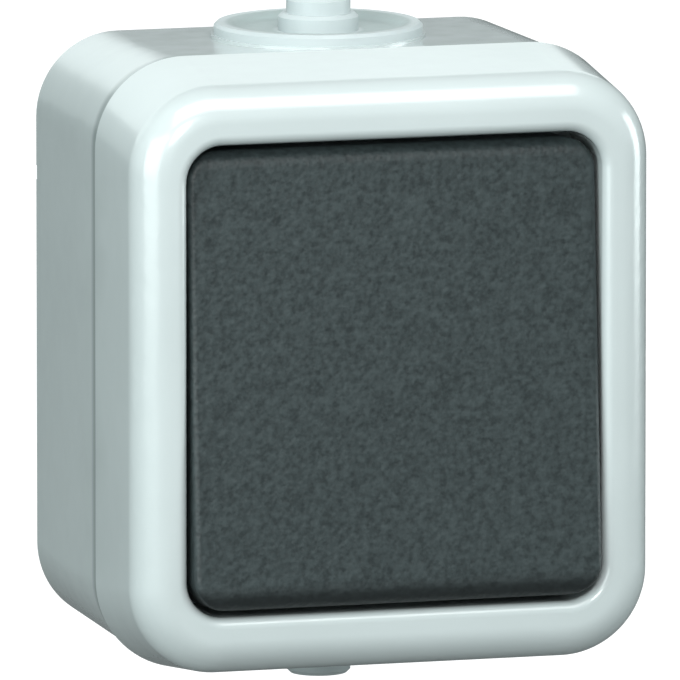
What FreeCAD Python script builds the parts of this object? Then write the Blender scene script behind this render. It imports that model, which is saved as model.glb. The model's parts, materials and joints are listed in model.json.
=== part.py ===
import FreeCAD, Part
import math
import os

# Surface-mounted weatherproof switch for one circuit: a two-way rocker switch in a moulded two-part housing.
# Millimetres. X to the right, Z up, Y from the front to the wall, origin at the middle of the face that lies
# against the wall. The front of the switch looks along -Y. The rocker rests with its top pushed in.

Vector = FreeCAD.Vector
ALONG_X = Vector(1, 0, 0)
ALONG_Y = Vector(0, 1, 0)
ALONG_Z = Vector(0, 0, 1)
NEAR = 1e-3  # how close two places are to count as the same

# Housing: the cover is widest at its rear edge, where it meets the base
seam_width = 67.2
seam_height = 76.4
seam_corner = 11.4
cover_depth = 18.4  # from the frame's front plane back to the seam
base_depth = 31.0  # from the seam to the wall
side_draft = 0.6  # how far each side of the cover leans in towards the front
end_draft = 2.1  # the same at its top and bottom
cover_wall = 2.0  # skirt of the cover at its rear edge
frame_round = 4.6  # outer rounding of the frame
frame_inner_round = 1.4  # rounding of the frame's edge round the rocker
outer_round_share = 0.72  # most of a bar that each rounding may take
inner_round_share = 0.22
seam_gap = 0.45  # shadow line between cover and base
base_step = 0.5  # the base stands back from the cover's rear edge by this much
base_draft = 0.5
base_wall = 2.7
back_wall = 2.6
back_bevel = 1.0
edge_break = 0.3  # bevel on the rims at the seam and on small metal edges

# Rocker well in the cover
side_bar = 6.4  # width of the frame's bars, measured on the front plane
end_bar = 6.8
opening_corner = 4.6
well_wall = 1.5
well_floor = 1.8
bar_thickness = 3.0  # moulded thickness behind the frame's front plane
seal_land = 2.1  # flat step inside the skirt that the gasket lies against

# Rim joint between base and cover
tongue_height = 3.0
tongue_clearance = 0.2
gasket_thickness = 1.0

# Rocker
rocker_gap_side = 0.5
rocker_gap_end = 0.7
rocker_recess = 0.4  # face of the level rocker behind the frame's front plane
rocker_skirt = 7.6
rocker_wall = 1.6
rocker_face = 2.0
rocker_end_round = 2.6
rocker_end_cut = 0.2  # the end walls cut the end rounding this much short
rocker_edge_round = 0.8
rocker_tilt = 4.0  # each way from level
rocker_floor_gap = 2.4  # left under the pushed-in end
pivot_behind_face = 5.0
rib_thickness = 1.0
rib_height = 2.4
rib_offset = 15.0

# Lever that carries the rocker, and its pin
lever_half_width = 7.5
lever_half_height = 6.5
lever_behind_pivot = 1.5
fit_gap = 0.1  # between pieces that are clipped or laid together
hook_width = 8.0
hook_wall = 1.6
hook_catch = 0.9
hook_height = 1.0
stem_half_width = 3.5
stem_half_height = 3.0
stem_end = 13.5  # behind the pivot
stem_corner = 1.0
pin_radius = 1.0
pin_running_gap = 0.05
pin_seat_gap = 0.02
ear_gap = 0.3
ear_thickness = 1.8
ear_radius = 2.3

# Plunger and its spring in the stem
plunger_radius = 1.6
plunger_gap = 0.05
plunger_length = 9.3
plunger_in_stem = 5.0  # length of it that stays inside the stem
plunger_bore_depth = 10.0
blade_clearance = 0.15  # plunger tip over the level contact blade
spring_wire = 0.4
spring_turns = 4

# Contact blade, a see-saw on a knife edge
blade_half_length = 11.0
blade_width = 6.0
blade_thickness = 1.2
blade_corner = 1.5
blade_tilt = 7.0  # each way from level
tip_radius = 1.5
tip_height = 0.8
tip_from_end = 1.5  # middle of a tip, from the blade's end
contact_gap = 0.15
strip_thickness = 1.0
strip_behind_blade = 2.9
strip_past_tip = 3.0  # from the middle of a fixed tip to its strip's inner end
knife_half_width = 1.2
knife_round = 0.3  # crest of the knife edge, in a groove across the blade
knife_clearance = 0.05

# Insulating insert
insert_depth = 16.9
insert_corner = 1.0
plate_thickness = 2.2
chamber_half_width = 4.5
chamber_end_gap = 2.7  # between the blade's ends and the chamber
stem_window_half_width = 4.6
stem_window_half_height = 5.4
seal_ring_thickness = 1.0
seal_ring_width = 1.4
plate_rise = 2.1  # ring on the plate that carries the seal
aperture_clearance = 0.8
fixing_inset = 4.0  # corner fixings of the insert, from its edges
fixing_notch = 3.6  # from the screw's middle to the sides of the notch for its head
lug_thickness = 3.0

# Terminals: a clamp cage with a screw at each end of both strips
cage_length = 6.0
cage_width = 7.6
cage_depth = 8.0
cage_wall = 1.2
clamp_opening = 0.9  # between a cage's front wall and the strip, as delivered
cage_gap = 0.3
cage_outer_wall = 1.2
cage_end_wall = 1.7
wire_hole_radius = 2.1
terminal_screw_radius = 1.5
terminal_head_radius = 2.7
terminal_head_height = 2.4
terminal_screw_length = 7.0
screw_access_radius = 3.0
access_from_ring = 0.7  # of a side terminal's hole in the plate, from the seal ring

# Screws and their bosses
cover_screw_from_side = 3.5  # from the side of the well
cover_screw_from_end = 4.2  # from its end
boss_radius = 3.2
boss_rib_step = 8.0  # the rib to the side wall starts this far behind a boss's end
cover_boss_radius = 2.9
screw_radius = 1.45
pilot_gap = 0.05
screw_hole_gap = 0.25
head_radius = 2.8
head_height = 1.9
pocket_gap = 0.5
cup_wall = 0.9
washer_thickness = 0.6
washer_inner_gap = 0.2
cover_screw_length = 16.0
screw_end_gap = 1.0  # left under a screw's tip in its boss
boss_floor = 1.0  # left under the bore of a boss
slot_width = 0.8
slot_depth = 0.9
rivet_radius = 1.4
rivet_head_radius = 2.4
rivet_head_height = 0.8

# Fixing slots in the rear wall
fixing_slot_from_side = 4.9  # from the base's inner side wall
fixing_slot_radius = 2.3
fixing_slot_length = 7.0

# Cable entries, top and bottom
entry_front_land = 3.0  # of the base's wall between the seam and the entry's pad
entry_rear_land = 1.3  # between the pad and the wall
entry_pad_rise = 0.2
entry_pad_depth = 3.4
pad_border = 0.35  # of the pad outside the grommet's flange
grommet_gap = 0.05
flange_overlap = 3.0  # of the flange on the pad outside the hole
flange_rim = 2.0
flange_height = 1.4
grommet_web = 1.1
grommet_lip = 1.0
grommet_lip_height = 1.2
neck_wall = 1.4
nipple_radius = 5.0
nipple_step = 1.0
nipple_edge = 0.45
nipple_low = 2.6
nipple_high = 4.7
nipple_wall = 1.0
web_rise = 0.4
rim_bevel = 0.4

# Earth terminal on the rear wall
earth_from_side = 6.0  # from the base's inner side wall
earth_from_end = 10.2  # from the base's inner end wall
earth_size = 6.4
earth_depth = 7.0
earth_wire_radius = 1.8
earth_rib = 1.0
earth_rib_height = 5.0

# Marks moulded into the base
notch_z = 19.8
notch_height = 1.8
notch_depth = 1.3

# Outlines of the housing
base_width = seam_width - 2 * base_step
base_height = seam_height - 2 * base_step
base_corner = seam_corner - base_step
front_width = seam_width - 2 * side_draft
front_height = seam_height - 2 * end_draft
front_corner = seam_corner - side_draft
opening_width = front_width - 2 * side_bar
opening_height = front_height - 2 * end_bar
inner_side = base_width / 2 - base_wall - base_draft  # inner faces of the base at the rear wall
inner_end = base_height / 2 - base_wall - base_draft
tongue = base_wall + base_step - cover_wall - tongue_clearance

rocker_width = opening_width - 2 * rocker_gap_side
rocker_height = opening_height - 2 * rocker_gap_end
rocker_corner = opening_corner - rocker_gap_side
rocker_swing = rocker_height / 2 * math.sin(math.radians(rocker_tilt))
well_depth = rocker_recess + rocker_skirt + rocker_swing + rocker_floor_gap

# Levels along Y, worked out from the sizes above
front_y = -cover_depth - base_depth
seam_y = -base_depth
cover_rear_y = seam_y - seam_gap
tongue_y = seam_y - tongue_height
gasket_y = tongue_y - gasket_thickness
floor_front_y = front_y + well_depth
floor_rear_y = floor_front_y + well_floor
bar_rear_y = front_y + bar_thickness
inner_back_y = -back_wall
rocker_face_y = front_y + rocker_recess
pivot_y = rocker_face_y + pivot_behind_face
ring_rear_y = floor_rear_y + seal_ring_thickness
plate_front_y = ring_rear_y + plate_rise
insert_front_y = plate_front_y + plate_thickness
insert_rear_y = insert_front_y + insert_depth

# Lever, ears and the window for them in the well floor
ear_outer = lever_half_width + ear_gap + ear_thickness
aperture_half_width = ear_outer + aperture_clearance
aperture_half_height = lever_half_height + hook_wall
ring_half_width = aperture_half_width + seal_ring_width
ring_half_height = aperture_half_height + seal_ring_width

# Blade and strips
tip_reach = blade_half_length - tip_from_end
strip_start = tip_reach - strip_past_tip
chamber_half_height = blade_half_length + chamber_end_gap
plunger_tip_y = pivot_y + stem_end + plunger_length - plunger_in_stem
blade_front_y = plunger_tip_y + blade_clearance
blade_pivot_y = blade_front_y + blade_thickness
strip_front_y = blade_pivot_y + strip_behind_blade
strip_rear_y = strip_front_y + strip_thickness
cage_front_y = strip_front_y - cage_wall - fit_gap - clamp_opening
cage_inner = chamber_half_height + cage_gap
cage_middle = cage_inner + cage_length / 2
insert_half_height = cage_inner + cage_length + cage_gap + cage_end_wall
side_cage_middle = ring_half_width + access_from_ring + screw_access_radius
side_cage_inner = side_cage_middle - cage_length / 2
insert_half_width = side_cage_inner + cage_length + cage_gap + cage_outer_wall

# Places of screws, slots, entries and earth terminal
fixing_x = insert_half_width - fixing_inset
fixing_z = insert_half_height - fixing_inset
cover_screw_x = opening_width / 2 - cover_screw_from_side
cover_screw_z = opening_height / 2 - cover_screw_from_end
fixing_slot_x = inner_side - fixing_slot_from_side
earth_x = inner_side - earth_from_side
earth_z = inner_end - earth_from_end
entry_pad_radius = (base_depth - entry_front_land - entry_rear_land) / 2
entry_y = -entry_rear_land - entry_pad_radius
flange_radius = entry_pad_radius - pad_border
entry_radius = flange_radius - flange_overlap


def outline(width, height, corner, y):
    """Rounded rectangle in the plane at y, centred on the Y axis."""
    x = width / 2
    z = height / 2
    lean = corner * (1 - math.sqrt(0.5))
    edges = []
    for sx, sz, start_on_top in ((1, 1, True), (1, -1, False), (-1, -1, True), (-1, 1, False)):
        on_top = Vector(sx * (x - corner), y, sz * z)
        on_side = Vector(sx * x, y, sz * (z - corner))
        middle = Vector(sx * (x - lean), y, sz * (z - lean))
        first, last = (on_top, on_side) if start_on_top else (on_side, on_top)
        edges.append(Part.Arc(first, middle, last).toShape())
    sides = []
    for i, arc in enumerate(edges):
        after = edges[(i + 1) % 4]
        sides += [arc, Part.makeLine(arc.valueAt(arc.LastParameter), after.valueAt(after.FirstParameter))]
    return Part.Wire(sides)


def prism(width, height, corner, y0, y1):
    """Rounded block from y0 to y1."""
    return Part.Face(outline(width, height, corner, y0)).extrude(Vector(0, y1 - y0, 0))


def tapered(first, last):
    """Body between two outlines, each given as width, height, corner and y."""
    return Part.makeLoft([outline(*first), outline(*last)], True, True)


def block(x0, x1, y0, y1, z0, z1):
    return Part.makeBox(x1 - x0, y1 - y0, z1 - z0, Vector(x0, y0, z0))


def centred(half_x, y0, y1, half_z, x=0.0, z=0.0):
    return block(x - half_x, x + half_x, y0, y1, z - half_z, z + half_z)


def rod(radius, y0, y1, x=0.0, z=0.0):
    """Round bar along Y."""
    return Part.makeCylinder(radius, y1 - y0, Vector(x, y0, z), ALONG_Y)


def fused(first, *others):
    return first.fuse(list(others)).removeSplitter()


def rim_edges(shape, y):
    """Edges that lie in the plane at y."""
    return [e for e in shape.Edges if abs(e.BoundBox.YMin - y) < NEAR and abs(e.BoundBox.YMax - y) < NEAR]


def is_within(edge, width, height):
    """Whether an edge lies on or inside a centred rectangle of this size."""
    box = edge.BoundBox
    wide = max(abs(box.XMin), abs(box.XMax)) < width / 2 + NEAR
    return wide and max(abs(box.ZMin), abs(box.ZMax)) < height / 2 + NEAR


def turned(points, y):
    """Solid turned round the Z axis at this y, from a closed profile of radius and height."""
    corners = [Vector(r, y, z) for r, z in points]
    face = Part.Face(Part.makePolygon(corners + corners[:1]))
    return face.revolve(Vector(0, y, 0), ALONG_Z, 360)


def screw(x, z, seat_y, head_r, head_h, shank_r, length, slot_angle=0.0):
    """Screw driven from the front: the underside of its slotted head is at seat_y."""
    head = rod(head_r, seat_y - head_h, seat_y, x, z)
    head = head.makeChamfer(head_h / 6, rim_edges(head, seat_y - head_h))
    shank = rod(shank_r, seat_y, seat_y + length, x, z)
    shank = shank.makeChamfer(shank_r / 3, rim_edges(shank, seat_y + length))
    slot = centred(head_r * 1.2, seat_y - head_h - 1, seat_y - head_h + slot_depth, slot_width / 2, x, z)
    slot.rotate(Vector(x, 0, z), ALONG_Y, slot_angle)
    return fused(head, shank).cut(slot)


def cover_screw_places():
    return [(-cover_screw_x, cover_screw_z), (cover_screw_x, -cover_screw_z)]


def insert_screw_places():
    return [(fixing_x, fixing_z), (-fixing_x, -fixing_z)]


def rivet_places():
    return [(-fixing_x, fixing_z), (fixing_x, -fixing_z)]


def cage_places():
    """Middle of each clamp cage, and whether its wire comes in along Z."""
    return [
        (0.0, cage_middle, True),
        (0.0, -cage_middle, True),
        (side_cage_middle, 0.0, False),
        (-side_cage_middle, 0.0, False),
    ]


def base_housing():
    at_seam = (base_width, base_height, base_corner, seam_y)
    at_wall = (base_width - 2 * base_draft, base_height - 2 * base_draft, base_corner - base_draft, 0.0)
    body = tapered(at_seam, at_wall)
    body = body.makeChamfer(back_bevel, rim_edges(body, 0.0))
    body = body.makeChamfer(edge_break, rim_edges(body, seam_y))
    inside_seam = [size - 2 * base_wall for size in at_seam[:2]] + [base_corner - base_wall]
    inside_back = [size - 2 * base_draft for size in inside_seam[:2]] + [inside_seam[2] - base_draft]
    rim = prism(inside_seam[0] + 2 * tongue, inside_seam[1] + 2 * tongue, inside_seam[2] + tongue,
                tongue_y, seam_y + back_wall)
    pads = []
    holes = []
    for sign in (1, -1):
        outer_z = sign * (base_height / 2 + entry_pad_rise)
        foot = Vector(0, entry_y, outer_z - sign * entry_pad_depth)
        pads.append(Part.makeCylinder(entry_pad_radius, entry_pad_depth, foot, ALONG_Z * sign))
        inside = foot - ALONG_Z * sign * entry_pad_depth
        holes.append(Part.makeCylinder(entry_radius, 4 * entry_pad_depth, inside, ALONG_Z * sign))
    cavity = tapered((*inside_seam, seam_y), (*inside_back, inner_back_y))
    mouth = prism(*inside_seam, tongue_y - 1, seam_y)
    shell = fused(body, rim).cut([cavity, mouth])
    shell = fused(shell, *pads, *base_bosses()).cut(holes)
    return shell.cut(base_cuts()).removeSplitter()


def base_bosses():
    """Pillars, screw bosses, their ribs and the seat of the earth terminal, all on the rear wall."""
    deep = inner_back_y + back_wall / 2
    made = []
    for x, z in insert_screw_places() + rivet_places():
        made.append(rod(boss_radius, insert_rear_y, deep, x, z))
    for x, z in cover_screw_places():
        made.append(rod(cover_boss_radius, cover_cup_rear(), deep, x, z))
        wall_x = math.copysign(base_width / 2 - base_wall / 2, x)
        made.append(block(min(x, wall_x), max(x, wall_x), cover_cup_rear() + boss_rib_step, deep,
                          z - rib_thickness / 2, z + rib_thickness / 2))
    for side in (1, -1):
        x = earth_x + side * (earth_size / 2 + fit_gap + earth_rib / 2)
        made.append(centred(earth_rib / 2, inner_back_y - earth_rib_height, deep, earth_size / 2, x, earth_z))
    return made


def fixing_slot(side):
    """Oblong along X through the rear wall, for a wall screw."""
    reach = fixing_slot_length / 2 - fixing_slot_radius
    x = side * fixing_slot_x
    y0, y1 = inner_back_y - 1, 1.0
    ends = [rod(fixing_slot_radius, y0, y1, x + shift, 0.0) for shift in (-reach, reach)]
    return fused(centred(reach, y0, y1, fixing_slot_radius, x, 0.0), *ends)


def base_cuts():
    cuts = []
    for x, z in insert_screw_places():
        cuts.append(rod(screw_radius + pilot_gap, insert_rear_y - 1, inner_back_y - boss_floor, x, z))
    for x, z in cover_screw_places():
        bore_end = cover_cup_rear() + cover_screw_length
        cuts.append(rod(screw_radius + pilot_gap, cover_cup_rear() - 1, bore_end, x, z))
    for side in (1, -1):
        cuts.append(fixing_slot(side))
        edge_x = side * base_width / 2
        notch = centred(notch_depth, -notch_depth, 1.0, notch_height / 2, edge_x, notch_z)
        cuts.append(notch)
    return cuts


def cover_cup_rear():
    """Rear face of the cups that sink the cover screws' heads into the well floor."""
    return floor_front_y + head_height + washer_thickness + 2 * cup_wall


def front_cover():
    at_rear = (seam_width, seam_height, seam_corner, cover_rear_y)
    at_front = (front_width, front_height, front_corner, front_y)
    body = tapered(at_rear, at_front)
    narrow_bar = min(side_bar, end_bar)
    body = body.makeFillet(min(frame_round, narrow_bar * outer_round_share), rim_edges(body, front_y))
    body = body.makeChamfer(edge_break, rim_edges(body, cover_rear_y))
    skirt = (seam_width - 2 * cover_wall, seam_height - 2 * cover_wall, seam_corner - cover_wall)
    land = tuple(size - 2 * seal_land for size in skirt[:2]) + (skirt[2] - seal_land,)
    opening = (opening_width, opening_height, opening_corner)
    well = (opening_width + 2 * well_wall, opening_height + 2 * well_wall, opening_corner + well_wall)
    body = body.cut([prism(*skirt, gasket_y, cover_rear_y + 1), prism(*land, bar_rear_y, gasket_y + 1)])
    body = fused(body, prism(*well, bar_rear_y, floor_rear_y))
    body = body.cut(prism(*opening, front_y - 1, floor_front_y))
    mouth = [e for e in rim_edges(body, front_y) if is_within(e, opening_width, opening_height)]
    body = body.makeFillet(min(frame_inner_round, narrow_bar * inner_round_share), mouth)
    cups = [rod(cup_radius(), floor_front_y, cover_cup_rear(), x, z) for x, z in cover_screw_places()]
    body = fused(body, *cups)
    cuts = [centred(aperture_half_width, floor_front_y - 1, floor_rear_y + 1, aperture_half_height)]
    for x, z in cover_screw_places():
        cuts.append(rod(head_radius + pocket_gap, floor_front_y - 1, washer_seat_y(), x, z))
        cuts.append(rod(screw_radius + screw_hole_gap, floor_front_y, cover_cup_rear() + 1, x, z))
    return body.cut(cuts).removeSplitter()


def cup_radius():
    return head_radius + pocket_gap + cup_wall


def washer_seat_y():
    return cover_cup_rear() - cup_wall


def perimeter_gasket():
    inside = (base_width - 2 * base_wall, base_height - 2 * base_wall, base_corner - base_wall)
    outside = tuple(size + 2 * tongue for size in inside[:2]) + (inside[2] + tongue,)
    return prism(*outside, gasket_y, tongue_y).cut(prism(*inside, gasket_y, tongue_y))


def tilted_rocker(shape):
    """Moves a piece of the rocker from level to its rest, with the top pushed in."""
    shape.rotate(Vector(0, pivot_y, 0), ALONG_X, -rocker_tilt)
    return shape


def rocker_side_profile(half_height, face_y, rear_y, end_round):
    """Side view of the rocker: a straight face whose two ends are rounded."""
    lean = end_round * (1 - math.sqrt(0.5))
    top = half_height
    top_rear = Vector(0, rear_y, top)
    top_side = Vector(0, face_y + end_round, top)
    top_face = Vector(0, face_y, top - end_round)
    low_face = Vector(0, face_y, end_round - top)
    low_side = Vector(0, face_y + end_round, -top)
    low_rear = Vector(0, rear_y, -top)
    upper_arc = Part.Arc(top_side, Vector(0, face_y + lean, top - lean), top_face).toShape()
    lower_arc = Part.Arc(low_face, Vector(0, face_y + lean, lean - top), low_side).toShape()
    lines = [Part.makeLine(top_rear, top_side), upper_arc, Part.makeLine(top_face, low_face), lower_arc,
             Part.makeLine(low_side, low_rear), Part.makeLine(low_rear, top_rear)]
    return Part.Face(Part.Wire(lines))


def rocker():
    rear_y = rocker_face_y + rocker_skirt
    side = rocker_side_profile(rocker_height / 2 + rocker_end_cut, rocker_face_y, rear_y, rocker_end_round)
    side.translate(Vector(-rocker_width, 0, 0))
    body = side.extrude(Vector(2 * rocker_width, 0, 0))
    body = body.common(prism(rocker_width, rocker_height, rocker_corner, rocker_face_y - 1, rear_y + 1))
    body = body.makeFillet(rocker_edge_round, [e for e in body.Edges if is_rocker_front_edge(e)])
    inside = (rocker_width - 2 * rocker_wall, rocker_height - 2 * rocker_wall, rocker_corner - rocker_wall)
    hollow = prism(*inside, rocker_face_y + rocker_face, rear_y + 1)
    shell = body.cut(hollow)
    return tilted_rocker(fused(shell, *rocker_ribs(), *rocker_hooks()))


def is_rocker_front_edge(edge):
    """An edge where the rocker's face or its rounded ends meet the walls."""
    box = edge.BoundBox
    in_front = box.YMax < rocker_face_y + rocker_end_round - NEAR
    across_the_face = box.ZLength < NEAR and box.YMax < rocker_face_y + NEAR
    return in_front and not across_the_face


def rocker_ribs():
    y0 = rocker_face_y + rocker_face / 2
    y1 = rocker_face_y + rocker_face + rib_height
    half_x = rocker_width / 2 - rocker_wall / 2
    half_z = rocker_height / 2 - rocker_wall / 2
    ribs = []
    for side in (1, -1):
        ribs.append(centred(rib_thickness / 2, y0, y1, half_z, side * rib_offset, 0.0))
        ribs.append(centred(half_x, y0, y1, rib_thickness / 2, 0.0, side * rib_offset))
    return ribs


def rocker_hooks():
    """Two legs that snap over the lever's top and bottom edges."""
    legs = []
    lever_rear = pivot_y + lever_behind_pivot
    catch_y = lever_rear + fit_gap
    for side in (1, -1):
        inner = lever_half_height + fit_gap
        middle = side * (inner + hook_wall / 2)
        legs.append(centred(hook_width / 2, rocker_face_y + rocker_face / 2, catch_y + hook_height,
                            hook_wall / 2, 0.0, middle))
        catch_middle = side * (inner - hook_catch / 2 + NEAR)
        legs.append(centred(hook_width / 2, catch_y, catch_y + hook_height,
                            hook_catch / 2 + NEAR, 0.0, catch_middle))
    return legs


def rocker_lever():
    lever_front = rocker_face_y + rocker_face + fit_gap
    lever_rear = pivot_y + lever_behind_pivot
    stem_rear = pivot_y + stem_end
    body = centred(lever_half_width, lever_front, lever_rear, lever_half_height)
    stem = centred(stem_half_width, lever_rear - 1, stem_rear, stem_half_height)
    bore = rod(plunger_radius + plunger_gap, stem_rear - plunger_bore_depth, stem_rear + 1)
    axle = Part.makeCylinder(pin_radius + pin_running_gap, 4 * lever_half_width,
                             Vector(-2 * lever_half_width, pivot_y, 0), ALONG_X)
    upright = [e for e in stem.Edges if e.BoundBox.YLength > stem_end / 2]
    stem = stem.makeFillet(stem_corner, upright)
    return tilted_rocker(fused(body, stem).cut([bore, axle]))


def lever_pin():
    return Part.makeCylinder(pin_radius, 2 * ear_outer, Vector(-ear_outer, pivot_y, 0), ALONG_X)


def plunger():
    rear = plunger_tip_y
    stem = rod(plunger_radius, rear - plunger_length, rear - plunger_radius)
    tip = Part.makeSphere(plunger_radius, Vector(0, rear - plunger_radius, 0))
    return tilted_rocker(fused(stem, tip))


def plunger_spring():
    """Coil of square wire between the blind end of the stem's bore and the plunger."""
    front = pivot_y + stem_end - plunger_bore_depth + spring_wire
    rear = plunger_tip_y - plunger_length - spring_wire
    coil_radius = plunger_radius - spring_wire
    helix = Part.makeHelix((rear - front) / spring_turns, rear - front, coil_radius)
    start = helix.Edges[0].valueAt(helix.Edges[0].FirstParameter)
    half = spring_wire / 2
    corners = [start + Vector(a * half, 0, b * half) for a, b in ((-1, -1), (1, -1), (1, 1), (-1, 1))]
    section = Part.makePolygon(corners + corners[:1])
    coil = Part.Wire(helix.Edges).makePipeShell([section], True, True)
    coil.rotate(Vector(0, 0, 0), ALONG_X, -90)
    coil.translate(Vector(0, front, 0))
    return tilted_rocker(coil)


def tilted_blade(shape):
    """Moves the see-saw from level to its rest, with its lower end on the lower contact."""
    shape.rotate(Vector(0, blade_pivot_y, 0), ALONG_X, blade_tilt)
    return shape


def contact_blade():
    body = centred(blade_width / 2, blade_front_y, blade_pivot_y, blade_half_length)
    ends = [e for e in body.Edges if e.BoundBox.YLength > blade_thickness / 2]
    groove = knife_crest(knife_round + knife_clearance, 2 * blade_width)
    return tilted_blade(body.makeFillet(blade_corner, ends).cut(groove))


def knife_crest(radius, length):
    """Round bar on the line that the blade tilts about."""
    return Part.makeCylinder(radius, length, Vector(-length / 2, blade_pivot_y, 0), ALONG_X)


def moving_tips():
    rear = blade_pivot_y + tip_height
    tips = [rod(tip_radius, blade_pivot_y, rear, 0.0, side * tip_reach) for side in (1, -1)]
    return tilted_blade(Part.makeCompound(tips))


def fixed_tip_y():
    """Crown of a fixed tip, just behind where the moving tip's middle comes to."""
    lean = math.radians(blade_tilt)
    return blade_pivot_y + tip_height * math.cos(lean) + tip_reach * math.sin(lean) + contact_gap


def fixed_tips():
    """Domed silver tips on the two fixed contacts."""
    rise = strip_front_y - fixed_tip_y()
    dome_radius = (tip_radius ** 2 + (rise / 3) ** 2) / (2 * rise / 3)
    made = []
    for side in (1, -1):
        z = side * tip_reach
        body = rod(tip_radius, fixed_tip_y(), strip_front_y, 0.0, z)
        made.append(body.common(Part.makeSphere(dome_radius, Vector(0, fixed_tip_y() + dome_radius, z))))
    return Part.makeCompound(made)


def fixed_contact(side):
    """Strip from behind one end of the blade into the clamp cage beyond it."""
    z0 = strip_start
    z1 = cage_inner + cage_length
    low, high = (z0, z1) if side > 0 else (-z1, -z0)
    return block(-tail_half_width(), tail_half_width(), strip_front_y, strip_rear_y, low, high)


def tail_half_width():
    """The strips fill the cages' windows, less a little room."""
    return cage_width / 2 - cage_wall - fit_gap


def common_contact():
    """Cross strip to both side terminals, with the knife edge that carries the blade."""
    reach = side_cage_inner + cage_length
    strip = centred(reach, strip_front_y, strip_rear_y, tail_half_width())
    start = -blade_width / 2
    corners = [(blade_pivot_y, knife_round), (strip_front_y, knife_half_width),
               (strip_front_y, -knife_half_width), (blade_pivot_y, -knife_round)]
    points = [Vector(start, y, z) for y, z in corners]
    wedge = Part.Face(Part.makePolygon(points + points[:1])).extrude(ALONG_X * blade_width)
    return fused(strip, wedge, knife_crest(knife_round, blade_width))


def clamp_cage(x, z, wire_along_z):
    half_long = cage_length / 2
    half_wide = cage_width / 2
    rear = cage_front_y + cage_depth
    outer = centred(half_wide, cage_front_y, rear, half_long)
    window = centred(half_wide - cage_wall, cage_front_y + cage_wall, rear - cage_wall, half_long + 1)
    hole = rod(terminal_screw_radius + pilot_gap, cage_front_y - 1, cage_front_y + cage_wall + 1)
    cage = outer.cut([window, hole])
    if not wire_along_z:
        cage.rotate(Vector(0, 0, 0), ALONG_Y, 90)
    cage.translate(Vector(x, 0, z))
    return cage


def terminal_clamps():
    return Part.makeCompound([clamp_cage(*place) for place in cage_places()])


def terminal_screws():
    """The foot of each screw bears on its strip."""
    seat = strip_front_y - fit_gap / 2 - terminal_screw_length
    made = []
    for i, (x, z, _) in enumerate(cage_places()):
        made.append(screw(x, z, seat, terminal_head_radius, terminal_head_height, terminal_screw_radius,
                          terminal_screw_length, 25.0 + 40.0 * i))
    return Part.makeCompound(made)


def insert_body():
    body = centred(insert_half_width, insert_front_y, insert_rear_y, insert_half_height)
    corners = [e for e in body.Edges if e.BoundBox.YLength > insert_depth / 2]
    body = body.makeFillet(insert_corner, corners)
    cage_rear = cage_front_y + cage_depth + fit_gap
    half = cage_width / 2 + cage_gap
    front = insert_front_y - 1
    cuts = [centred(chamber_half_width, front, strip_rear_y, chamber_half_height)]
    cuts.append(centred(side_cage_inner, front, strip_rear_y, tail_half_width() + cage_gap))
    for x, z, wire_along_z in cage_places():
        long = cage_length / 2 + cage_gap
        if wire_along_z:
            cuts.append(centred(half, front, cage_rear, long, x, z))
            start, way = Vector(0, wire_y(), z), ALONG_Z * math.copysign(1, z)
        else:
            cuts.append(centred(long, front, cage_rear, half, x, z))
            start, way = Vector(x, wire_y(), 0), ALONG_X * math.copysign(1, x)
        cuts.append(Part.makeCylinder(wire_hole_radius, insert_half_width, start, way))
    lug_front = insert_rear_y - lug_thickness
    for x, z in insert_screw_places():
        cuts.append(corner_notch(x, z, front, lug_front))
        cuts.append(rod(screw_radius + screw_hole_gap, lug_front - 1, insert_rear_y + 1, x, z))
    for x, z in rivet_places():
        cuts.append(rod(rivet_radius + pilot_gap, front, insert_rear_y + 1, x, z))
        cuts.append(rod(rivet_head_radius + pilot_gap, rivet_rear_y(), insert_rear_y + 1, x, z))
    return body.cut(cuts)


def corner_notch(x, z, y0, y1):
    """Room for a fixing screw's head at a corner of the insert."""
    outside = fixing_inset + 1
    x0, x1 = (x - fixing_notch, x + outside) if x > 0 else (x - outside, x + fixing_notch)
    z0, z1 = (z - fixing_notch, z + outside) if z > 0 else (z - outside, z + fixing_notch)
    return block(x0, x1, y0, y1, z0, z1)


def wire_y():
    """Middle of the space for the wire, between strip and cage rear."""
    return (strip_rear_y + cage_front_y + cage_depth - cage_wall) / 2


def rivet_rear_y():
    """Seat of the rivets' rear heads, sunk into the insert."""
    return insert_rear_y - rivet_head_height - fit_gap


def insert_plate():
    plate = centred(insert_half_width, plate_front_y, insert_front_y, insert_half_height)
    corners = [e for e in plate.Edges if e.BoundBox.YLength > plate_thickness / 2]
    plate = plate.makeFillet(insert_corner, corners)
    rise = centred(ring_half_width, ring_rear_y, insert_front_y, ring_half_height)
    well = centred(ring_half_width - seal_ring_width, ring_rear_y - 1, plate_front_y,
                   ring_half_height - seal_ring_width)
    ears = [bearing_ear(side) for side in (1, -1)]
    cuts = [centred(stem_window_half_width, ring_rear_y - 1, insert_front_y + 1, stem_window_half_height)]
    for x, z, _ in cage_places():
        cuts.append(rod(screw_access_radius, ring_rear_y - 1, insert_front_y + 1, x, z))
    for x, z in insert_screw_places():
        cuts.append(corner_notch(x, z, ring_rear_y - 1, insert_front_y + 1))
    for x, z in rivet_places():
        cuts.append(rod(rivet_radius + pilot_gap, ring_rear_y - 1, insert_front_y + 1, x, z))
    return fused(fused(plate, rise).cut(well), *ears).cut(cuts)


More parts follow.
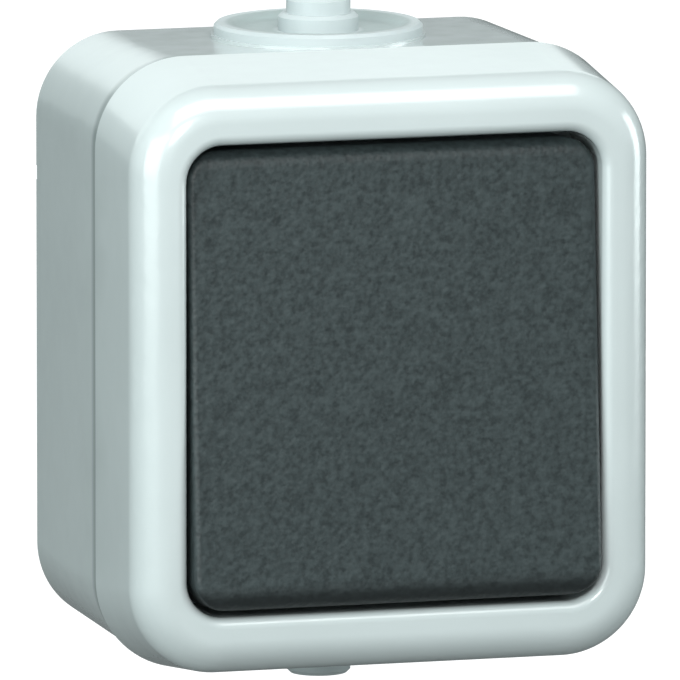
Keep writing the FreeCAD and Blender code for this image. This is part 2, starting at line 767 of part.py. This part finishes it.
def bearing_ear(side):
    """Upright beside the lever, with the seat of the pin at its rounded end."""
    inner = lever_half_width + ear_gap
    x0, x1 = (inner, ear_outer) if side > 0 else (-ear_outer, -inner)
    post = block(x0, x1, pivot_y, insert_front_y - plate_thickness / 2, -ear_radius, ear_radius)
    crown = Part.makeCylinder(ear_radius, ear_thickness, Vector(x0, pivot_y, 0), ALONG_X)
    start = Vector(x0 - ear_thickness / 2, pivot_y, 0)
    seat = Part.makeCylinder(pin_radius + pin_seat_gap, 2 * ear_thickness, start, ALONG_X)
    return fused(post, crown).cut(seat)


def insert_seal():
    """Soft ring between the insert and the rear of the well floor."""
    inner_x = ring_half_width - seal_ring_width
    inner_z = ring_half_height - seal_ring_width
    outer = centred(ring_half_width, floor_rear_y, ring_rear_y, ring_half_height)
    return outer.cut(centred(inner_x, floor_rear_y, ring_rear_y, inner_z))


def plate_rivets():
    made = []
    for x, z in rivet_places():
        inside = rivet_head_height / 2
        shank = rod(rivet_radius, plate_front_y - inside, rivet_rear_y() + inside, x, z)
        front = rod(rivet_head_radius, plate_front_y - rivet_head_height, plate_front_y, x, z)
        front = front.makeChamfer(rivet_head_height / 2, rim_edges(front, plate_front_y - rivet_head_height))
        rear = rod(rivet_head_radius, rivet_rear_y(), rivet_rear_y() + rivet_head_height, x, z)
        made.append(fused(front, shank, rear))
    return Part.makeCompound(made)


def insert_screws():
    seat = insert_rear_y - lug_thickness
    length = inner_back_y - boss_floor - screw_end_gap - seat
    return Part.makeCompound([
        screw(x, z, seat, head_radius, head_height, screw_radius, length, 35.0)
        for x, z in insert_screw_places()])


def cover_screws():
    seat = washer_seat_y() - washer_thickness
    return Part.makeCompound([
        screw(x, z, seat, head_radius, head_height, screw_radius, cover_screw_length, 60.0)
        for x, z in cover_screw_places()])


def cover_screw_seals():
    made = []
    for x, z in cover_screw_places():
        disc = rod(head_radius + fit_gap, washer_seat_y() - washer_thickness, washer_seat_y(), x, z)
        made.append(disc.cut(rod(screw_radius + washer_inner_gap, front_y, 0.0, x, z)))
    return Part.makeCompound(made)


def cable_grommet(side):
    """Stepped membrane grommet: flange, soft web and closed nipple outside, neck and lip inside."""
    seat = base_height / 2 + entry_pad_rise
    neck = entry_radius - grommet_gap
    inner_neck = neck - neck_wall
    lip_z = seat - entry_pad_depth
    web_top = seat + web_rise
    web_low = web_top - grommet_web
    rim_inner = flange_radius - flange_rim
    high_radius = nipple_radius - nipple_step
    bore_low = nipple_radius - nipple_wall
    bore_high = high_radius - nipple_wall
    profile = [
        (0.0, seat + nipple_high), (high_radius - nipple_edge, seat + nipple_high),
        (high_radius, seat + nipple_high - nipple_edge), (high_radius, seat + nipple_low),
        (nipple_radius - nipple_edge, seat + nipple_low), (nipple_radius, seat + nipple_low - nipple_edge),
        (nipple_radius, web_top), (rim_inner - flange_height, web_top),
        (rim_inner, seat + flange_height), (flange_radius - rim_bevel, seat + flange_height),
        (flange_radius, seat + flange_height - rim_bevel), (flange_radius, seat),
        (neck, seat), (neck, lip_z), (neck + grommet_lip, lip_z - fit_gap),
        (neck, lip_z - grommet_lip_height),
        (inner_neck, lip_z - grommet_lip_height), (inner_neck, web_low), (bore_low, web_low),
        (bore_low, seat + nipple_low - nipple_wall), (bore_high, seat + nipple_low - nipple_wall),
        (bore_high, seat + nipple_high - nipple_wall), (0.0, seat + nipple_high - nipple_wall),
    ]
    solid = turned(profile, entry_y)
    if side < 0:
        solid.rotate(Vector(0, entry_y, 0), ALONG_Y, 180)
    return solid


def earth_terminal():
    body = centred(earth_size / 2, inner_back_y - earth_depth, inner_back_y, earth_size / 2, earth_x, earth_z)
    body = body.makeChamfer(edge_break, body.Edges)
    wire_middle = inner_back_y - earth_depth / 3
    below = Vector(earth_x, wire_middle, earth_z - earth_size)
    wire = Part.makeCylinder(earth_wire_radius, 2 * earth_size, below, ALONG_Z)
    above = inner_back_y - earth_depth - 1
    thread = rod(terminal_screw_radius + pilot_gap, above, wire_middle, earth_x, earth_z)
    return body.cut([wire, thread])


def earth_screw():
    seat = inner_back_y - earth_depth - fit_gap
    return screw(earth_x, earth_z, seat, terminal_head_radius, terminal_head_height, terminal_screw_radius,
                 earth_depth / 2, 15.0)


def main():
    pieces = {
        "base_housing": base_housing(),
        "front_cover": front_cover(),
        "perimeter_gasket": perimeter_gasket(),
        "rocker": rocker(),
        "rocker_lever": rocker_lever(),
        "lever_pin": lever_pin(),
        "plunger": plunger(),
        "plunger_spring": plunger_spring(),
        "contact_blade": contact_blade(),
        "moving_contact_tips": moving_tips(),
        "fixed_contact_tips": fixed_tips(),
        "upper_fixed_contact": fixed_contact(1),
        "lower_fixed_contact": fixed_contact(-1),
        "common_contact": common_contact(),
        "terminal_clamps": terminal_clamps(),
        "terminal_screws": terminal_screws(),
        "insert_body": insert_body(),
        "insert_plate": insert_plate(),
        "insert_seal": insert_seal(),
        "plate_rivets": plate_rivets(),
        "insert_screws": insert_screws(),
        "cover_screws": cover_screws(),
        "cover_screw_seals": cover_screw_seals(),
        "top_cable_grommet": cable_grommet(1),
        "bottom_cable_grommet": cable_grommet(-1),
        "earth_terminal": earth_terminal(),
        "earth_terminal_screw": earth_screw(),
    }
    os.makedirs("parts", exist_ok=True)
    for name, shape in pieces.items():
        shape.exportStep("parts/" + name + ".step")
        print(name, shape.isValid(), len(shape.Solids), round(shape.Volume, 1))


main()
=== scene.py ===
"""Looks of the outdoor weatherproof switch: its finishes, and the light and camera of the photograph."""

import bpy
import bmesh
import json
import math
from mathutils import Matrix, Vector


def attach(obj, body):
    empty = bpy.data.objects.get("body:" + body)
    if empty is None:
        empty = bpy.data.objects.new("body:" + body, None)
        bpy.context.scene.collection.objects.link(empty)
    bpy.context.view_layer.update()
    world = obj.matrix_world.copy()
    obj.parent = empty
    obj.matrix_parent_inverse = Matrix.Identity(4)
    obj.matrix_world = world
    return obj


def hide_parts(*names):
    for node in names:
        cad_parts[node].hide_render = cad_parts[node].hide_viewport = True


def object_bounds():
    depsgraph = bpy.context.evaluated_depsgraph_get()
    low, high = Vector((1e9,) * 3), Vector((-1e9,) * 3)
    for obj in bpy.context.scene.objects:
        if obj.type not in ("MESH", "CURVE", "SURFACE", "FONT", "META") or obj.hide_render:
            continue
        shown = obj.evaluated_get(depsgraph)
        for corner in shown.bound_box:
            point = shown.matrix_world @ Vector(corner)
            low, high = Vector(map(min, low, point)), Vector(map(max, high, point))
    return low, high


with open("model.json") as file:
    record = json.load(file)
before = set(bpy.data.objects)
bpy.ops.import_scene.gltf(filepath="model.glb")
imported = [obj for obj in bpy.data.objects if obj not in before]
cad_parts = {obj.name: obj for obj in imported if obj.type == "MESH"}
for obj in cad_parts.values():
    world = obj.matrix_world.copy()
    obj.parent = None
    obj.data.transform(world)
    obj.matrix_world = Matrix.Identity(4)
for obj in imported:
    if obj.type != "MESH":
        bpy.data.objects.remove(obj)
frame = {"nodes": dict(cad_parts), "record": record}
cad_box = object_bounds()
scene = bpy.context.scene
body_of = {node: body for body, nodes in frame["record"]["behaviour"]["bodies"].items() for node in nodes}
slot_of = {part["node"]: part["material_slot"] for part in frame["record"]["subparts"]}

MM = 0.001  # lengths are in metres and angles in degrees, unless a name says otherwise

# Camera, aimed so that the middle of the frame's front shows at the photograph's pixel
IMAGE_SIDE = 680
PIXELS_PER_METRE = 8140.0  # at the middle of the front
FRONT_IN_PHOTO = (397.4, 375.7)
FRONT_FROM_WALL = -0.0494
CAMERA_AZIMUTH = -16.3  # 0 is straight in front, and less is further left
CAMERA_ELEVATION = 8.85
CAMERA_DISTANCE = 2.4
SENSOR_MM = 36.0
CLIP_NEAR = 0.05
CLIP_FAR = 20.0

# Lamps, whose reflections in the gloss give the bright and the dark sides of the photograph
OBJECT_MIDDLE = Vector((0.0, -0.03, 0.0))
WHITE = (1.0, 1.0, 1.0)
COOL = (0.91, 1.0, 1.0)
LAMPS = (  # name, azimuth, elevation, distance, width and height, watts, tint
    ("left_softbox", -54.0, 8.0, 0.60, (0.50, 0.50), 3.1, COOL),
    ("top_softbox", -5.0, 58.0, 0.50, (0.50, 0.30), 1.9, WHITE),
    ("front_light", -14.0, 22.0, 0.60, (0.15, 0.15), 0.95, WHITE),
    ("right_fill", 80.0, 5.0, 0.60, (0.25, 0.35), 1.65, COOL),
    ("rear_softbox", 188.0, 28.0, 1.00, (1.60, 0.50), 2.3, COOL),
)

# Room and floor: white where the camera sees them, and much dimmer as a source of light
ROOM_TINT = (0.88, 1.0, 1.0, 1.0)
ROOM_AS_LIGHT = 0.25
ROOM_AS_SEEN = 1.2
FLOOR_AS_SEEN = 1.0
FLOOR_HALF_WIDTH = 6.0
FLOOR_BELOW = 0.030  # the switch hangs on its wall, clear of the floor

# Visible pieces, whose roundings are shaded as smooth
OUTER_NODES = ("base_housing", "front_cover", "rocker", "top_cable_grommet", "bottom_cable_grommet")
SMOOTH_ANGLE = 36.0  # edges that bend less than this belong to a rounding
MERGE_WITHIN = 1e-6

# Rocker: how far its top is drawn in, for the wide gap above it
ROCKER_TILT = 4.0
ROCKER_TOP_FROM = 0.020  # along the rocker's face, from its middle
ROCKER_TOP_IN = 0.00045

# Where a finish changes, each from one place to the next
# painted shadow of the cover's step on the base's side, over this depth
SEAM_PAINTED_SHADOW_DEPTH = (-0.0292, -0.0278)  # on the base, from the wall
ENTRY_FROM_WALL = -0.01465
NIPPLE_FOOT_RADIUS = (0.0052, 0.0058)
WEB_EDGE_RADIUS = (0.0112, 0.0118)
# painted shade on the rocker's lower rounding, over this height
ROCKER_LOW_PAINTED_SHADE_HEIGHT = (-0.0266, -0.0250)

# Range that holds most values of a noise
NOISE_LOW = 0.3
NOISE_HIGH = 0.7


def srgb(red, green, blue):
    """Linear colour from screen values of 0 to 255."""
    def linear(value):
        share = value / 255
        return share / 12.92 if share <= 0.04045 else ((share + 0.055) / 1.055) ** 2.4
    return (linear(red), linear(green), linear(blue), 1.0)


# Each finish varies softly between two shades
COVER_GREYS = (srgb(195, 204, 204), srgb(200, 209, 209))
# painted light: the base's copy of the shell greys, a little lighter than the cover's to brighten the base
BASE_GREYS_PAINTED_LIGHTER = (srgb(198, 207, 207), srgb(203, 212, 212))
# colour of the painted shadow beside the seam behind the cover
SEAM_PAINTED_SHADOW = srgb(128, 140, 139)
MEMBRANE_GREYS = (srgb(190, 200, 201), srgb(197, 206, 207))
# painted shade of the recess, on the web round the nipple
WEB_PAINTED_SHADE = srgb(164, 178, 177)
ROCKER_GREYS = (srgb(37, 45, 46), srgb(52, 62, 63))
ROCKER_SPECKLE = srgb(62, 72, 73)
# colour of the painted shade on the rocker's lower rounding
ROCKER_LOW_EDGE_PAINTED_SHADE = srgb(18, 23, 24)
SEAL_BLACKS = (srgb(28, 30, 30), srgb(44, 46, 46))
FLOOR_GREYS = (srgb(122, 124, 124), srgb(128, 130, 130))
PLASTICS_INSIDE = (  # material slot, two shades, grain in waves a metre
    ("lever_plastic", srgb(196, 199, 194), srgb(206, 208, 203), 300.0),
    ("insulating_plastic", srgb(226, 225, 214), srgb(236, 235, 226), 260.0),
)
METALS_INSIDE = (  # material slot, two shades, roughness where it is smoothest
    ("plated_steel", srgb(186, 188, 186), srgb(208, 209, 205), 0.25),
    ("spring_steel", srgb(150, 150, 148), srgb(172, 171, 168), 0.22),
    ("contact_metal", srgb(190, 140, 84), srgb(206, 158, 98), 0.25),
    ("contact_silver", srgb(214, 214, 210), srgb(228, 228, 224), 0.15),
)


class Finish:
    """A material under construction: its nodes, links and shader. Scales are in waves a metre."""

    def __init__(self, name, **shader_values):
        self.material = bpy.data.materials.new(name)
        self.material.use_nodes = True
        self.nodes = self.material.node_tree.nodes
        self.links = self.material.node_tree.links
        self.shader = self.nodes["Principled BSDF"]
        self.place = self.nodes.new("ShaderNodeTexCoord").outputs["Object"]
        for socket, value in shader_values.items():
            self.shader.inputs[socket.replace("_", " ")].default_value = value

    def noise(self, scale, detail=2.0, roughness=0.5):
        """Soft random waves, from 0 to 1."""
        node = self.nodes.new("ShaderNodeTexNoise")
        node.inputs["Scale"].default_value = scale
        node.inputs["Detail"].default_value = detail
        node.inputs["Roughness"].default_value = roughness
        self.links.new(self.place, node.inputs["Vector"])
        return node.outputs["Fac"]

    def cells(self, scale):
        """Small rounded pits side by side."""
        node = self.nodes.new("ShaderNodeTexVoronoi")
        node.feature = "SMOOTH_F1"
        node.inputs["Scale"].default_value = scale
        node.inputs["Smoothness"].default_value = 0.6
        self.links.new(self.place, node.inputs["Vector"])
        return node.outputs["Distance"]

    def along(self, axis):
        """One coordinate of the place."""
        node = self.nodes.new("ShaderNodeSeparateXYZ")
        self.links.new(self.place, node.inputs["Vector"])
        return node.outputs[axis]

    def distance_from(self, x, y):
        """Distance from an upright line."""
        node = self.nodes.new("ShaderNodeVectorMath")
        node.operation = "MULTIPLY_ADD"
        node.inputs[1].default_value = (1.0, 1.0, 0.0)
        node.inputs[2].default_value = (-x, -y, 0.0)
        self.links.new(self.place, node.inputs[0])
        length = self.nodes.new("ShaderNodeVectorMath")
        length.operation = "LENGTH"
        self.links.new(node.outputs["Vector"], length.inputs[0])
        return length.outputs["Value"]

    def spread(self, value, low, high, to_low, to_high):
        """The value moved from the range low to high into another, and held inside it."""
        node = self.nodes.new("ShaderNodeMapRange")
        for name, number in (("From Min", low), ("From Max", high), ("To Min", to_low), ("To Max", to_high)):
            node.inputs[name].default_value = number
        self.links.new(value, node.inputs["Value"])
        return node.outputs["Result"]

    def blend(self, share, first, second):
        """Colour between two, by a share from 0 to 1."""
        node = self.nodes.new("ShaderNodeMix")
        node.data_type = "RGBA"
        self.links.new(share, node.inputs["Factor"])
        for socket, colour in ((node.inputs["A"], first), (node.inputs["B"], second)):
            if isinstance(colour, tuple):
                socket.default_value = colour
            else:
                self.links.new(colour, socket)
        return node.outputs["Result"]

    def mottle(self, grain, shades):
        """Colour that varies between two shades with the grain."""
        return self.blend(self.spread(grain, NOISE_LOW, NOISE_HIGH, 0.0, 1.0), *shades)

    def colour(self, output):
        self.links.new(output, self.shader.inputs["Base Color"])

    def roughen(self, grain, least, most):
        """Roughness that varies with the grain."""
        rough = self.spread(grain, NOISE_LOW, NOISE_HIGH, least, most)
        self.links.new(rough, self.shader.inputs["Roughness"])

    def bump(self, height, depth, over=None):
        """Relief of this depth, laid over another bump if one is given."""
        node = self.nodes.new("ShaderNodeBump")
        node.inputs["Strength"].default_value = 1.0
        node.inputs["Distance"].default_value = depth
        self.links.new(height, node.inputs["Height"])
        if over is not None:
            self.links.new(over, node.inputs["Normal"])
        self.links.new(node.outputs["Normal"], self.shader.inputs["Normal"])
        return node.outputs["Normal"]


def shell_plastic(name, shades, shadow_painted_in_seam=False):
    """Light grey moulded plastic with a smooth, slightly wavy gloss, with a painted shadow on the base next
    to the cover's seam if asked.
    """
    finish = Finish(name, IOR=1.5, Specular_IOR_Level=0.5, Coat_Weight=0.8, Coat_Roughness=0.14)
    colour = finish.mottle(finish.noise(45.0), shades)
    if shadow_painted_in_seam:
        # painted shadow of the cover's step, along the base's side next to the seam
        seam_shadow_share = finish.spread(finish.along("Y"), *SEAM_PAINTED_SHADOW_DEPTH, 0.65, 0.0)
        colour = finish.blend(seam_shadow_share, colour, SEAM_PAINTED_SHADOW)
    finish.colour(colour)
    finish.roughen(finish.noise(260.0, detail=3.0), 0.20, 0.27)
    waves = finish.bump(finish.noise(420.0, detail=1.0), 0.012 * MM)
    finish.bump(finish.noise(2600.0), 0.002 * MM, over=waves)
    return finish.material


def soft_membrane():
    """Light grey soft elastomer of the cable entries, with painted shade on the recessed web round the
    nipple.
    """
    finish = Finish("soft_membrane", IOR=1.45, Specular_IOR_Level=0.4, Sheen_Weight=0.08, Sheen_Roughness=0.5)
    plain = finish.mottle(finish.noise(120.0), MEMBRANE_GREYS)
    radius = finish.distance_from(0.0, ENTRY_FROM_WALL)
    past_web = finish.spread(radius, *WEB_EDGE_RADIUS, 0.0, 1.0)
    past_nipple = finish.spread(radius, *NIPPLE_FOOT_RADIUS, 0.0, 1.0)
    # painted shade on the web, between the nipple's foot and the web's edge
    finish.colour(finish.blend(past_web, finish.blend(past_nipple, plain, WEB_PAINTED_SHADE), plain))
    finish.roughen(finish.noise(900.0, detail=3.0), 0.38, 0.48)
    finish.bump(finish.noise(3000.0), 0.006 * MM)
    return finish.material


def grained_rocker_plastic():
    """Dark grey plastic with the fine grain of the rocker, and painted shade on its lower rounding."""
    finish = Finish("grained_rocker_plastic", IOR=1.5, Specular_IOR_Level=0.5)
    grain = finish.noise(1250.0, detail=3.0, roughness=0.6)
    speckle = finish.spread(finish.noise(620.0), 0.45, 0.75, 0.0, 0.5)
    # painted shade on the rocker's downward-facing lower rounding
    low_edge_shade = finish.spread(finish.along("Z"), *ROCKER_LOW_PAINTED_SHADE_HEIGHT, 0.75, 0.0)
    dark = finish.blend(finish.spread(grain, 0.35, 0.65, 0.0, 1.0), *ROCKER_GREYS)
    speckled = finish.blend(speckle, dark, ROCKER_SPECKLE)
    finish.colour(finish.blend(low_edge_shade, speckled, ROCKER_LOW_EDGE_PAINTED_SHADE))
    finish.roughen(grain, 0.42, 0.58)
    pits = finish.bump(finish.cells(1700.0), 0.05 * MM)
    finish.bump(grain, 0.03 * MM, over=pits)
    return finish.material


def seal_rubber():
    """Black foam rubber of the seals."""
    finish = Finish("seal_rubber", IOR=1.45, Specular_IOR_Level=0.3)
    grain = finish.noise(1400.0, detail=3.0)
    finish.colour(finish.mottle(grain, SEAL_BLACKS))
    finish.roughen(grain, 0.6, 0.8)
    finish.bump(finish.cells(2200.0), 0.04 * MM)
    return finish.material


def moulded_plastic(name, shades, grain_scale):
    """Plain moulded plastic of the parts inside."""
    finish = Finish(name, IOR=1.5, Specular_IOR_Level=0.45)
    grain = finish.noise(grain_scale, detail=3.0)
    finish.colour(finish.mottle(grain, shades))
    finish.roughen(grain, 0.4, 0.55)
    finish.bump(finish.noise(4 * grain_scale), 0.008 * MM)
    return finish.material


def worked_metal(name, shades, least_rough):
    """Drawn, stamped or plated metal with faint marks of its making."""
    finish = Finish(name, Metallic=1.0)
    marks = finish.noise(900.0, detail=4.0, roughness=0.6)
    finish.colour(finish.mottle(marks, shades))
    finish.roughen(marks, least_rough, least_rough + 0.15)
    finish.bump(finish.noise(3500.0), 0.004 * MM)
    return finish.material


def finishes_by_slot():
    """The finish of each material slot of the record."""
    finishes = {
        "light_grey_shell": shell_plastic("glossy_shell_plastic", COVER_GREYS),
        "dark_grey_rocker": grained_rocker_plastic(),
        "soft_grey_membrane": soft_membrane(),
        "dark_seal": seal_rubber(),
    }
    for slot, first, second, grain_scale in PLASTICS_INSIDE:
        finishes[slot] = moulded_plastic(slot, (first, second), grain_scale)
    for slot, first, second, least_rough in METALS_INSIDE:
        finishes[slot] = worked_metal(slot, (first, second), least_rough)
    return finishes


def dress_nodes():
    """Gives each node of the model the finish of its material slot, and the base its own copy, painted
    lighter and with a painted shadow along the seam.
    """
    finishes = finishes_by_slot()
    # the base's own copy of the shell finish, painted lighter and with the painted seam shadow
    painted_base_plastic = shell_plastic("base_plastic_with_painted_light", BASE_GREYS_PAINTED_LIGHTER, shadow_painted_in_seam=True)
    for name, node in frame["nodes"].items():
        material = painted_base_plastic if name == "base_housing" else finishes[slot_of[name]]
        if not node.data.materials:
            node.data.materials.append(material)
        for i in range(len(node.data.materials)):
            node.data.materials[i] = material


def add_shape(name, shape, material):
    """Object with the finished shape and one material."""
    mesh = bpy.data.meshes.new(name)
    shape.to_mesh(mesh)
    shape.free()
    mesh.materials.append(material)
    piece = bpy.data.objects.new(name, mesh)
    scene.collection.objects.link(piece)
    return piece


def draw_in_rocker_top(shape):
    """Leaves the wider gap above the rocker that the photograph shows."""
    tilt = math.radians(ROCKER_TILT)
    up_the_face = Vector((0.0, math.sin(tilt), math.cos(tilt)))
    top = [vert for vert in shape.verts if vert.co.dot(up_the_face) > ROCKER_TOP_FROM]
    bmesh.ops.translate(shape, verts=top, vec=-ROCKER_TOP_IN * up_the_face)


def smooth_outer_pieces():
    """Copies of the visible pieces with their roundings shaded as smooth, in the places of the solids."""
    for name in OUTER_NODES:
        node = frame["nodes"][name]
        shape = bmesh.new()
        shape.from_mesh(node.data)
        bmesh.ops.remove_doubles(shape, verts=shape.verts, dist=MERGE_WITHIN)
        if name == "rocker":
            draw_in_rocker_top(shape)
        for face in shape.faces:
            face.smooth = True
        for edge in shape.edges:
            edge.smooth = edge.is_manifold and edge.calc_face_angle() < math.radians(SMOOTH_ANGLE)
        piece = add_shape(name + "_smooth", shape, node.data.materials[0])
        even = piece.modifiers.new("even_shading", "WEIGHTED_NORMAL")
        even.keep_sharp = True
        even.weight = 100
        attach(piece, body_of[name])
        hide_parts(name)


def direction(azimuth, elevation):
    """Unit vector from the object towards a camera or lamp."""
    turn = math.radians(azimuth)
    rise = math.radians(elevation)
    return Vector((math.sin(turn) * math.cos(rise), -math.cos(turn) * math.cos(rise), math.sin(rise)))


def add_camera():
    """Camera whose image shows the middle of the front at the photograph's pixel."""
    back = direction(CAMERA_AZIMUTH, CAMERA_ELEVATION)
    right = direction(CAMERA_AZIMUTH + 90.0, 0.0)
    up = back.cross(right)
    front = Vector((0.0, FRONT_FROM_WALL, 0.0))
    across = (FRONT_IN_PHOTO[0] - IMAGE_SIDE / 2) / PIXELS_PER_METRE
    down = (FRONT_IN_PHOTO[1] - IMAGE_SIDE / 2) / PIXELS_PER_METRE
    aim = front - right * across + up * down
    data = bpy.data.cameras.new("photo_camera")
    data.sensor_width = SENSOR_MM
    data.lens = SENSOR_MM * PIXELS_PER_METRE * CAMERA_DISTANCE / IMAGE_SIDE
    data.clip_start = CLIP_NEAR
    data.clip_end = CLIP_FAR
    camera = bpy.data.objects.new("photo_camera", data)
    scene.collection.objects.link(camera)
    camera.location = aim + back * CAMERA_DISTANCE
    camera.rotation_euler = back.to_track_quat("Z", "Y").to_euler()
    scene.camera = camera


def add_lamp(name, azimuth, elevation, distance, size, watts, tint):
    """Rectangular soft lamp that faces the object."""
    towards = direction(azimuth, elevation)
    data = bpy.data.lights.new(name, "AREA")
    data.shape = "RECTANGLE"
    data.size, data.size_y = size
    data.energy = watts
    data.color = tint
    lamp = bpy.data.objects.new(name, data)
    scene.collection.objects.link(lamp)
    lamp.location = OBJECT_MIDDLE + towards * distance
    lamp.rotation_euler = towards.to_track_quat("Z", "Y").to_euler()
    lamp.visible_camera = False


def glow(tree, as_light, as_seen):
    """Strength of a glow, one for the light that it gives and one for how the camera sees it."""
    rays = tree.nodes.new("ShaderNodeLightPath")
    strength = tree.nodes.new("ShaderNodeMapRange")
    strength.inputs["To Min"].default_value = as_light
    strength.inputs["To Max"].default_value = as_seen
    tree.links.new(rays.outputs["Is Camera Ray"], strength.inputs["Value"])
    return strength.outputs["Result"]


def add_floor():
    """Plain pale floor under the object."""
    finish = Finish("pale_floor", Roughness=0.9, Specular_IOR_Level=0.0, Emission_Color=(1.0, 1.0, 1.0, 1.0))
    finish.colour(finish.blend(finish.noise(3.0), *FLOOR_GREYS))
    seen = glow(finish.material.node_tree, 0.0, FLOOR_AS_SEEN)
    finish.links.new(seen, finish.shader.inputs["Emission Strength"])
    shape = bmesh.new()
    bmesh.ops.create_grid(shape, x_segments=1, y_segments=1, size=FLOOR_HALF_WIDTH)
    bmesh.ops.translate(shape, verts=shape.verts, vec=(0.0, 0.0, cad_box[0][2] - FLOOR_BELOW))
    add_shape("floor", shape, finish.material)


def set_room():
    """White room round the object."""
    world = bpy.data.worlds.new("pale_studio")
    world.use_nodes = True
    background = world.node_tree.nodes["Background"]
    background.inputs["Color"].default_value = ROOM_TINT
    seen = glow(world.node_tree, ROOM_AS_LIGHT, ROOM_AS_SEEN)
    world.node_tree.links.new(seen, background.inputs["Strength"])
    scene.world = world
    scene.view_settings.view_transform = "Standard"


dress_nodes()
smooth_outer_pieces()
add_camera()
add_floor()
set_room()
for lamp in LAMPS:
    add_lamp(*lamp)
